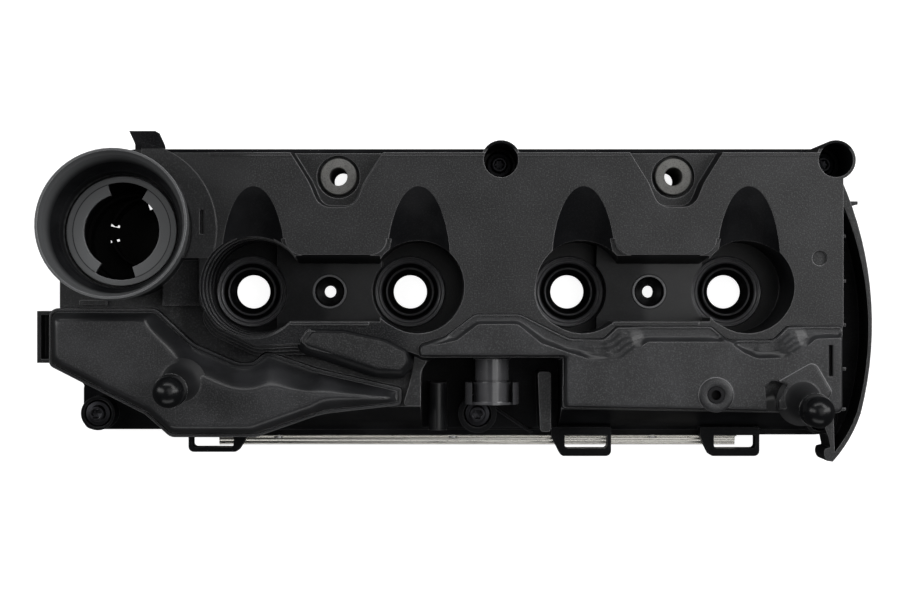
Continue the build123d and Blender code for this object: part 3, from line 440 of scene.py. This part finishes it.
def softened(corners, radius, steps=4):
    """Closed or open outline with every inner corner eased.

    A corner C between A and B becomes the curve (1-t)^2 P + 2t(1-t) C + t^2 Q, where P and Q lie
    the radius away from C towards A and B, or less far on a short side.
    """
    points = np.asarray(corners, float)
    before, after = np.roll(points, 1, 0) - points, np.roll(points, -1, 0) - points
    spans = [np.linalg.norm(v, axis=1, keepdims=True) for v in (before, after)]
    p, q = [points + v / s * np.minimum(radius, 0.45 * s) for v, s in zip((before, after), spans)]
    t = np.linspace(0, 1, steps)[None, :, None]
    curve = (1 - t) ** 2 * p[:, None] + 2 * t * (1 - t) * points[:, None] + t**2 * q[:, None]
    return curve.reshape(-1, points.shape[1])


def revolved(profile, x, y, sides):
    """Surface of revolution: (x + r cos a, y + r sin a, z) for each radius r and height z."""
    angle = np.linspace(0, 2 * pi, sides, endpoint=False)[:, None]
    r, z = profile[None, :, 0], profile[None, :, 1]
    return np.stack([x + r * np.cos(angle), y + r * np.sin(angle), z + 0 * angle], -1)


def rounded_outline(corners, step):
    """Evenly spaced points along an outline of straight sides and round corners.

    The arc at a corner of radius r turns about a centre C that lies r inside both its sides:
    C + (sin((1-t) w) S + sin(t w) E) / sin w, for t from 0 to 1, with w the turn and S and E the
    radii to its two ends.
    """
    arcs = []
    t = np.linspace(0, 1, 16)[:, None]
    before, after = corners[-1:] + corners[:-1], corners[1:] + corners[:1]
    for (ax, ay, _), (x, y, r), (bx, by, _) in zip(before, corners, after):
        here = np.array([x, y], float)
        u, v = np.array([ax, ay]) - here, np.array([bx, by]) - here
        u, v = u / np.linalg.norm(u), v / np.linalg.norm(v)
        half = np.arccos(u @ v) / 2
        centre = here + (u + v) / np.linalg.norm(u + v) * r / np.sin(half)
        first, last = here + u * r / np.tan(half) - centre, here + v * r / np.tan(half) - centre
        turn = pi - 2 * half
        arcs.append(centre + (np.sin((1 - t) * turn) * first + np.sin(t * turn) * last) / np.sin(turn))
    path = np.vstack(arcs + [arcs[0][:1]])
    length = np.append(0, np.cumsum(np.linalg.norm(np.diff(path, axis=0), axis=1)))
    at = np.arange(0, length[-1] - step / 2, step)
    return np.stack([np.interp(at, length, path[:, k]) for k in (0, 1)], 1)


def side_gaps(points, outline):
    """Distance from each point to each straight side of a closed outline."""
    run = np.roll(outline, -1, 0) - outline
    to = points[:, None] - outline
    share = np.clip((to * run).sum(2) / (run**2).sum(1), 0, 1)
    return np.linalg.norm(to - share[..., None] * run, axis=2)


def nearest_side(points, corners):
    """Which straight side of the outline each point lies closest to."""
    return side_gaps(points, np.array([c[:2] for c in corners], float)).argmin(1)


def inner_depth(points, rim, slopes, step):
    """Depth in from the rim, rounded off over corners, and the slope's foot and width there.

    With d the distances to the rim's samples, the depth is (step / c * sum of d^-6)^(-1/5), where
    c = 3 pi / 8 makes it equal d beside a straight side. Foot and width are the means of the
    samples' own weighted by d^-6.
    """
    depths, local = [], []
    for some in np.array_split(points, 16):
        weight = (np.sum((some[:, None] - rim) ** 2, axis=2) + 1e-4) ** -3
        depths.append((step / (3 * pi / 8) * weight.sum(1)) ** -0.2)
        local.append(weight @ slopes / weight.sum(1)[:, None])
    return np.concatenate(depths), np.concatenate(local)


def inward_normals(rim):
    """Unit normals of a closed outline at its samples, pointing inwards."""
    along = np.roll(rim, -1, 0) - np.roll(rim, 1, 0)
    along /= np.linalg.norm(along, axis=1, keepdims=True)
    area = np.sum(rim[:, 0] * np.roll(rim[:, 1], -1) - np.roll(rim[:, 0], -1) * rim[:, 1])
    return np.stack([-along[:, 1], along[:, 0]], 1) * np.sign(area)


def signed_depth(points, rim):
    """Distance in from a closed outline, negative outside it.

    A point is inside where a line from it towards +x crosses the outline an odd number of times.
    """
    after = np.roll(rim, -1, 0)
    run = after - rim
    found = []
    for some in np.array_split(points, 24):
        gap = side_gaps(some, rim).min(1)
        to = some[:, None] - rim
        crossed = (rim[:, 1] > some[:, None, 1]) != (after[:, 1] > some[:, None, 1])
        meets = to[..., 0] < to[..., 1] * run[:, 0] / (run[:, 1] + 1e-9)
        found.append(np.where((crossed & meets).sum(1) % 2 == 1, gap, -gap))
    return np.concatenate(found)


def crowned(name, corners, slopes, rings, base, top, spacing, finish):
    """Closed moulding over an outline, its top at the height top(d, u, w), its underside at base.

    d is the distance in from the outline. The slopes are either one pair for each side, its foot
    and width w, or the corners of a plateau. u runs from 0 at the foot to 1 a width further in, or
    from 0 on the outline to 1 on the plateau's edge, w being both distances together. The top is
    meshed from rings near the outline, an even grid within them and two rows of points along the
    plateau's edge, which the grid keeps clear of.
    """
    step = 1.0
    rim = rounded_outline(corners, step)
    inward = inward_normals(rim)
    x, y = np.meshgrid(*[np.arange(rim[:, k].min(), rim[:, k].max(), spacing) for k in (0, 1)])
    field = np.stack([x.ravel(), y.ravel()], 1)
    has_plateau = len(slopes[0]) == 3
    if has_plateau:
        edge = rounded_outline(slopes, 0.6)
        row_gap, clearance = 0.4, 0.45
        field = field[np.abs(signed_depth(field, edge) + row_gap / 2) > clearance]
        field = np.vstack([field, edge, edge - row_gap * inward_normals(edge)])
    within = signed_depth(field, rim)
    kept = within > rings[-1] + 0.5 * spacing
    flat = np.vstack([rim + inward * d for d in rings] + [field[kept]])
    d = np.concatenate([np.full(len(rim), v) for v in rings] + [within[kept]])
    if has_plateau:
        outside = np.clip(-signed_depth(flat, edge), 0, None)
        width = d + outside + 1e-6
        share = d / width
    else:
        depth, local = inner_depth(flat, rim, np.array(slopes, float)[nearest_side(rim, corners)], step)
        width = local[:, 1]
        share = np.clip((depth - local[:, 0]) / width, 0, 1)
    z = top(d, share, width)
    count = len(rim)
    edges = [(i, (i + 1) % count) for i in range(count)]
    found = delaunay_2d_cdt([Vector(p) for p in flat], edges, [], 1, 1e-5)
    source = [origin[0] for origin in found[3]]
    points = np.column_stack([flat, z])[source]
    faces = [tuple(face) for face in found[2]]
    start = len(points)
    index = {old: new for new, old in enumerate(source)}
    points = np.vstack([points, np.column_stack([rim, np.full(count, base)])])
    for i in range(count):
        j = (i + 1) % count
        faces.append((index[i], index[j], start + j, start + i))
    faces.append(tuple(range(start, start + count)))
    return surface(name, points * MM, faces, finish)


def ease(u):
    """0 to 1 as u goes from 0 to 1, level at both ends."""
    u = np.clip(u, 0, 1)
    return u * u * (3 - 2 * u)


def shoulder(u):
    """Quarter of an ellipse: upright where u is 0, level where it is 1."""
    return np.sqrt(1 - (1 - u) ** 2)


# outlines in millimetres: x, y and the radius of each corner
SEPARATOR = [
    (-238, -9, 5),
    (-180, -9, 8),
    (-160, -28, 14),
    (-136, -38.3, 10),
    (-128, -38.3, 5),
    (-120.5, -32, 5),
    (-93, -41.5, 20),
    (-47.6, -52, 2),
    (-47.6, -61.5, 3),
    (-91, -66.3, 60),
    (-126, -78.6, 8),
    (-172.5, -78.6, 6),
    (-186, -66.5, 12),
    (-238, -40, 4),
]
SEPARATOR_WIDTHS = [5, 9, 13, 15, 15, 15, 10, 14, 8, 6, 5, 5, 5, 5]  # of the slope along each side
RESERVOIR = [
    (-38, -34.5, 2),
    (-38, -28.5, 3),
    (-24, -24, 8),
    (-8.5, -12.2, 6),
    (15.5, -12.2, 8),
    (42, -25.4, 14),
    (60, -25.4, 5),
    (67, -18.7, 3),
    (117, -18.7, 4),
    (126, -26, 9),
    (150.5, -26, 7),
    (157.6, -18.7, 4),
    (187, -18.7, 2),
    (187, -64.5, 3),
    (39.5, -61.5, 1.5),
    (39.5, -34.5, 1.5),
]
PLATEAU = [
    (-36.8, -33.2, 0.5),
    (-36.8, -30.2, 1),
    (-18, -26.1, 6),
    (-6.7, -17.5, 4),
    (14.3, -17.5, 6),
    (26.9, -27.8, 10),
    (53, -36.4, 10),
    (69.5, -38.0, 6),
    (76.6, -31.6, 8),
    (83.2, -26.9, 4),
    (126.2, -26.9, 5),
    (134.1, -32.7, 8),
    (141.5, -35.9, 8),
    (158.8, -35.3, 8),
    (166.4, -30.6, 8),
    (172.3, -25.3, 4),
    (185.5, -24.8, 1),
    (185.5, -62.8, 2),
    (41.2, -59.8, 1),
    (41.2, -33.2, 0.5),
]
DOME = [
    (-97, -18.3, 5),
    (-105.5, -27, 5),
    (-102, -33, 7),
    (-62, -46.5, 20),
    (-47, -47, 5),
    (-41.2, -40, 5),
    (-42.5, -31, 5),
    (-56, -24, 14),
    (-80, -18.8, 14),
]
DOME_WIDTHS = [6, 7, 8, 7, 5, 4, 3, 3, 4]


def stud(x, y, z, tilt, finish):
    """Ball-headed stud on a flared foot, revolved and then tipped forward by the tilt.

    The foot's radius falls from 13.6 mm towards the neck as 6.2 + 7.4 exp(-h / 3.4). The ball is a
    sphere of 8.1 mm at 40 mm, above a thin collar 8.8 mm in radius.
    """
    h = np.linspace(-2, 27, 40)
    foot = np.stack([6.2 + 7.4 * np.exp(-(h + 2) / 3.4) - 0.015 * h, h], 1)
    collar = np.array([(5.8, 30.6), (8.4, 32.2), (8.8, 32.6), (8.8, 33.2), (8.4, 33.5), (6.6, 33.7)])
    a = np.radians(np.linspace(-42, 90, 44))
    ball = np.stack([8.1 * np.cos(a), 40 + 8.1 * np.sin(a)], 1)
    grid = revolved(np.vstack([foot, collar, ball, [(0, -2)]]), 0, 0, 96)
    up, back = np.cos(radians(tilt)), np.sin(radians(tilt))
    along, over = grid[..., 1] * up - grid[..., 2] * back, grid[..., 1] * back + grid[..., 2] * up
    return skin("stud", np.stack([x + grid[..., 0], y + along, z + over], -1) * MM, finish)


def drawn_out(name, ends, finish):
    """Closed solid between two rings of points that match one for one."""
    count = len(ends[0])
    sides = [(i, (i + 1) % count, count + (i + 1) % count, count + i) for i in range(count)]
    faces = [tuple(range(count))[::-1], tuple(range(count, 2 * count))] + sides
    return surface(name, np.vstack(ends) * MM, faces, finish)


def prism(name, corners, low, high, finish):
    """Upright solid over a polygon, used to cut recesses."""
    ends = [[(x, y, z) for x, y in corners] for z in (low, high)]
    return drawn_out(name, ends, finish)


def cut(piece, tools):
    """Takes the tools out of the piece and deletes them."""
    for tool in tools:
        step = piece.modifiers.new("cut", "BOOLEAN")
        step.operation = "DIFFERENCE"
        step.object = tool
        with bpy.context.temp_override(object=piece, active_object=piece):
            bpy.ops.object.modifier_apply(modifier=step.name)
        bpy.data.objects.remove(tool)


def separator_lid(finish, ball_finish):
    """Welded lid: a beaded rim 3 mm thick, and a soft bulge 12 mm high inside it."""

    def top(d, u, w):
        bead = 0.9 * (ease(d / 0.4) - ease((d - 1.5) / 0.6))
        soft = np.clip((w - 6) / 6, 0, 1)
        rise = soft * ease(u) ** 0.85 + (1 - soft) * shoulder(u)
        return SEPARATOR_RIM + bead + SEPARATOR_RISE * rise

    rings = (0, 0.15, 0.4, 1.0, 1.5, 1.8, 2.1, 2.4, 2.6, 2.9, 3.3)
    slopes = [(2.4, width) for width in SEPARATOR_WIDTHS]
    bulge = crowned("bulge", SEPARATOR, slopes, rings, 43, top, 1.0, finish)
    piece = joined("separator_cover", [bulge, stud(*LEFT_STUD, ball_finish)])
    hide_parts("separator_lid")
    return piece


def facet_top(d, u, w):
    """Height of the raised facet under the right stud."""
    return RESERVOIR_RIM + 3.9 + shoulder(u)


def reservoir_lid(finish, ball_finish):
    """Welded lid with a flat top 4 mm up.

    Up to 3 mm from the outline the slope to the plateau is a round shoulder. Where the plateau is
    further in, a level band comes first and then a ramp with a crisp upper edge, and towards 13 mm
    the ramp turns into five steps.
    """

    def top(d, u, w):
        stair = (np.floor(5 * u) + ease((5 * u - np.floor(5 * u)) / 0.35)) / 5
        ramp = np.clip((u - 0.6) / 0.4, 0, 1)
        stepped = np.clip((w - 8.8) / 4, 0, 1)
        far = np.clip((w - 2.4) / 2, 0, 1)
        bead = 0.45 * (ease(d / 0.3) - ease((d - 0.9) / 0.4)) * far
        wide = stepped * stair + (1 - stepped) * (0.6 * ramp + 0.4 * ramp**3)
        rise = far * wide + (1 - far) * shoulder(u)
        return RESERVOIR_RIM + bead + RESERVOIR_RISE * rise

    rings = (0, 0.15, 0.3, 0.6, 0.9, 1.1, 1.3)
    lid = crowned("lid", RESERVOIR, PLATEAU, rings, 54, top, 0.75, finish)
    slit = [(179.1, -45), (181.4, -45), (181.4, -28.5), (179.1, -28.5)]
    pocket = [(145.2, -51), (148.5, -47.6), (152.0, -47.4), (157.5, -49.6)]
    pocket += [(152.6, -57.5), (152.6, -72), (147.6, -72)]
    angle = np.linspace(0, 2 * pi, 48, endpoint=False)
    bore = np.stack([BOSS[0] + BOSS_BORE * np.cos(angle), BOSS[1] + BOSS_BORE * np.sin(angle)], 1)
    recesses = ((slit, 55), (pocket, 54.5), (bore, 50))
    cut(lid, [prism("tool", shape, low, CLEAR_ABOVE, finish) for shape, low in recesses])
    profile = [(BOSS_BORE, 60), (BOSS_BORE, 62.8), (4.8, 63), (8.7, 63), (9.2, 62.6), (9.3, 60)]
    boss = skin("boss", revolved(np.array(profile), *BOSS, 64) * MM, finish)
    corners = [(146, -51.5, 3), (171.5, -37, 4), (181, -53.5, 3), (176, -62, 3), (148.5, -62.5, 4)]
    sides = [(0, 0.9)] * len(corners)
    facet = crowned("facet", corners, sides, (0, 0.3, 0.6, 0.9), 61, facet_top, 2, finish)
    cut(facet, [prism("tool", pocket, 54.5, CLEAR_ABOVE, finish)])
    piece = joined("reservoir_cover", [lid, boss, facet, stud(*RIGHT_STUD, ball_finish)])
    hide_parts("reservoir_lid")
    return piece


def oval_top(d, u, w):
    """Height of the oval chamber's crown."""
    return OVAL_RIM + OVAL_RISE * shoulder(u)


def dome(finish):
    """Crowned top of the oval chamber beside the separator lid."""
    slopes = [(0, width) for width in DOME_WIDTHS]
    rings = (0, 0.3, 0.7, 1.2, 1.8)
    piece = crowned("oval_dome", DOME, slopes, rings, OVAL_RIM - 1, oval_top, 1.0, finish)
    return piece


def shield(finish):
    """Rolled heat shield along the front flange: one folded section drawn out along x."""
    outer = [(-80.1, 9.5), (-80.15, 3.4), (-80.9, 2.2), (-82.4, 2.1), (-83.2, 1.6), (-85.0, 1.2)]
    inner = [(-86.0, 1.5), (-86.15, 2.3), (-85.2, 3.1), (-84.1, 2.7), (-83.3, 3.5), (-82.2, 3.3)]
    inner += [(-81.3, 3.9), (-80.95, 9.5)]
    section = softened(outer + inner, 0.5)
    ends = [np.column_stack([np.full(len(section), x), section]) for x in SHIELD_ENDS]
    piece = drawn_out("front_shield", ends, finish)
    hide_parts("heat_shield")
    return piece


def injector_seal(number, x, finish):
    """Rubber seal in a well floor: a crowned outer land, a fat bead, a deep valley and an inner lip.

    Its top is a land that stands 1.5 mm proud of the floor at r = 19 and falls off both ways, plus a
    bell of 1.3 mm at r = 16.8, less a bell at r = 14.6 and a slope that falls 7.4 mm from r = 14.5
    to the bore, plus a bell of 2.9 mm at r = 12.7.
    """
    bore, rim, under = 9.3, 19.9, 14.05
    r = np.linspace(bore, rim, 120)

    def bell(centre, width):
        return np.exp(-(((r - centre) / width) ** 2))

    fall = np.clip((14.5 - r) / 5.2, 0, 1)
    z = 14.3 + 1.5 * bell(19.0, 0.8) + 1.3 * bell(16.8, 0.9) - 2.0 * bell(14.6, 0.6)
    z += 2.9 * bell(12.7, 0.8) - 7.4 * fall**1.5
    foot = [(rim, under), (15.9, under), (15.9, 5.05), (bore, 5.05)]
    profile = np.vstack([np.stack([r, z], 1), foot]) * MM
    piece = skin(f"seal_ring_{number}", revolved(profile, x, 0, 160), finish)
    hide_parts(f"injector_seal_{number}")
    return piece


def screw(x, y, finish):
    """Flanged pan screw: revolved about its axis, with a six-lobed recess and a rolled thread.

    In the recess the radius is multiplied by 1 + 0.13 cos 6a. On the thread it is raised by a
    quarter millimetre where the height, less the turn a / 2 pi of one pitch, is near a whole pitch.
    """
    seat, pitch = SCREW_SEAT, 1.25
    head = [(0, 3.6), (2.35, 3.7), (2.45, 6.3), (2.9, 6.6), (4.0, 6.5), (4.3, 6.1), (4.3, 2.0)]
    head += [(4.6, 1.7), (6.5, 1.5), (6.8, 1.2), (6.8, 0.1), (3.0, 0.0)]
    head = np.array([(r, seat + z) for r, z in head])
    thread_z = np.arange(seat - 1, 3.0, -pitch / 8)
    thread = np.stack([0 * thread_z + 2.75, thread_z], 1)
    tip = np.array([(2.3, 1.9), (0, 1.6)])
    profile = np.vstack([softened(head, 0.22)[2:-2], thread, tip])
    angle = np.linspace(0, 2 * pi, 72, endpoint=False)[:, None]
    r, z = profile[None, :, 0], profile[None, :, 1]
    lobed = ((z > seat + 3.55) & (r < 2.7)) * 0.13 * np.cos(6 * angle)
    helix = np.abs((z / pitch - angle / (2 * pi)) % 1 - 0.5) * 2
    threaded = (z < seat - 0.9) & (z > 2.9)
    r = r * (1 + lobed) + threaded * 0.25 * helix
    grid = np.stack([x + r * np.cos(angle), y + r * np.sin(angle), z + 0 * angle], -1)
    return skin("screw", grid * MM, finish, loop=False)


def screws(finish):
    """The five captive screws as one object."""
    piece = joined("flange_screws", [screw(x, y, finish) for x, y in SCREWS])
    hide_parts("mounting_screws")
    return piece


def softbox(name, place, size, watts):
    """Rectangular area light turned towards the middle of the cover's foot."""
    lamp = bpy.data.lights.new(name, "AREA")
    lamp.shape = "RECTANGLE"
    lamp.size, lamp.size_y = size
    lamp.energy = watts
    made = bpy.data.objects.new(name, lamp)
    made.location = place
    made.rotation_euler = (-Vector(place)).to_track_quat("-Z", "Y").to_euler()
    bpy.context.collection.objects.link(made)


def paper():
    """Pale paper under the cover. Only the eye sees it glow, so it throws no light up the walls."""
    f = Finish("floor_paper")
    seen = f.node("LightPath", {}, {}, "Is Camera Ray")
    sheet = f.node("BsdfDiffuse", {}, {"Color": (0.5, 0.5, 0.5, 1)})
    glow = f.node("Emission", {}, {"Color": (1, 1, 1, 1), "Strength": 0.93})
    lit = f.node("AddShader", {}, {0: sheet, 1: glow})
    dim = f.node("BsdfDiffuse", {}, {"Color": (0.04, 0.04, 0.04, 1)})
    f.node("OutputMaterial", {}, {"Surface": f.node("MixShader", {}, {0: seen, 1: dim, 2: lit})})
    return f.material


def studio():
    """Pale floor, softboxes above and all round, and the camera straight above."""
    bpy.ops.mesh.primitive_plane_add(size=8, location=(0, 0, -0.4 * MM))
    floor = bpy.context.object
    floor.name = "floor"
    floor.data.materials.append(paper())
    softbox("overhead", (0.42, 0.17, 1.5), (1.25, 0.95), 3.6)
    softbox("left_strip", (-1.1, 0.25, 0.85), (0.45, 1.2), 5.5)
    softbox("right_strip", (1.1, 0.25, 0.85), (0.5, 1.2), 8.0)
    softbox("rear_strip", (-0.1, 1.2, 0.75), (1.4, 0.35), 5.0)
    softbox("corner_strip", (0.9, 0.9, 0.95), (0.7, 0.5), 5.0)
    softbox("front_strip", (-0.1, -1.3, 0.55), (1.6, 0.5), 4.0)
    world = bpy.data.worlds.new("studio_air")
    world.use_nodes = True
    world.node_tree.nodes["Background"].inputs["Color"].default_value = (1, 1, 1, 1)
    world.node_tree.nodes["Background"].inputs["Strength"].default_value = 0.03
    bpy.context.scene.world = world
    bpy.context.scene.view_settings.view_transform = "Standard"
    lens = bpy.data.cameras.new("camera")
    lens.sensor_width = SENSOR_MM
    lens.lens = FOCAL_IN_WIDTHS * SENSOR_MM
    camera = bpy.data.objects.new("camera", lens)
    camera.location = EYE
    bpy.context.collection.objects.link(camera)
    bpy.context.scene.camera = camera


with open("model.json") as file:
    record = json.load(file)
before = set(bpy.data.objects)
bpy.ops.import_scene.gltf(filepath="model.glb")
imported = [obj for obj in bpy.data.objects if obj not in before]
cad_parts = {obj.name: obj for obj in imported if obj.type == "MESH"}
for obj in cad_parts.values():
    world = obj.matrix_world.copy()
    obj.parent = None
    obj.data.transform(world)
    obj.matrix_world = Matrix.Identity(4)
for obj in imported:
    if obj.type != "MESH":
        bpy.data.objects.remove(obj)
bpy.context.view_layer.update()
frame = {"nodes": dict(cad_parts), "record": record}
palette = finishes()
ball_finish = ball_plastic("stud_plastic")
for part in frame["record"]["subparts"]:
    node = frame["nodes"][part["node"]]
    node.data.materials.clear()
    node.data.materials.append(palette[part["material_slot"]])
pieces = [injector_seal(i + 1, x, palette["seal_rubber"]) for i, x in enumerate(INJECTORS)]
pieces.append(screws(palette["screw_steel"]))
pieces.append(separator_lid(palette["lid_plastic"], ball_finish))
pieces.append(reservoir_lid(palette["lid_plastic"], ball_finish))
pieces.append(dome(palette["body"]))
pieces.append(shield(palette["shield_steel"]))
for piece in pieces:
    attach(piece, "root")
studio()
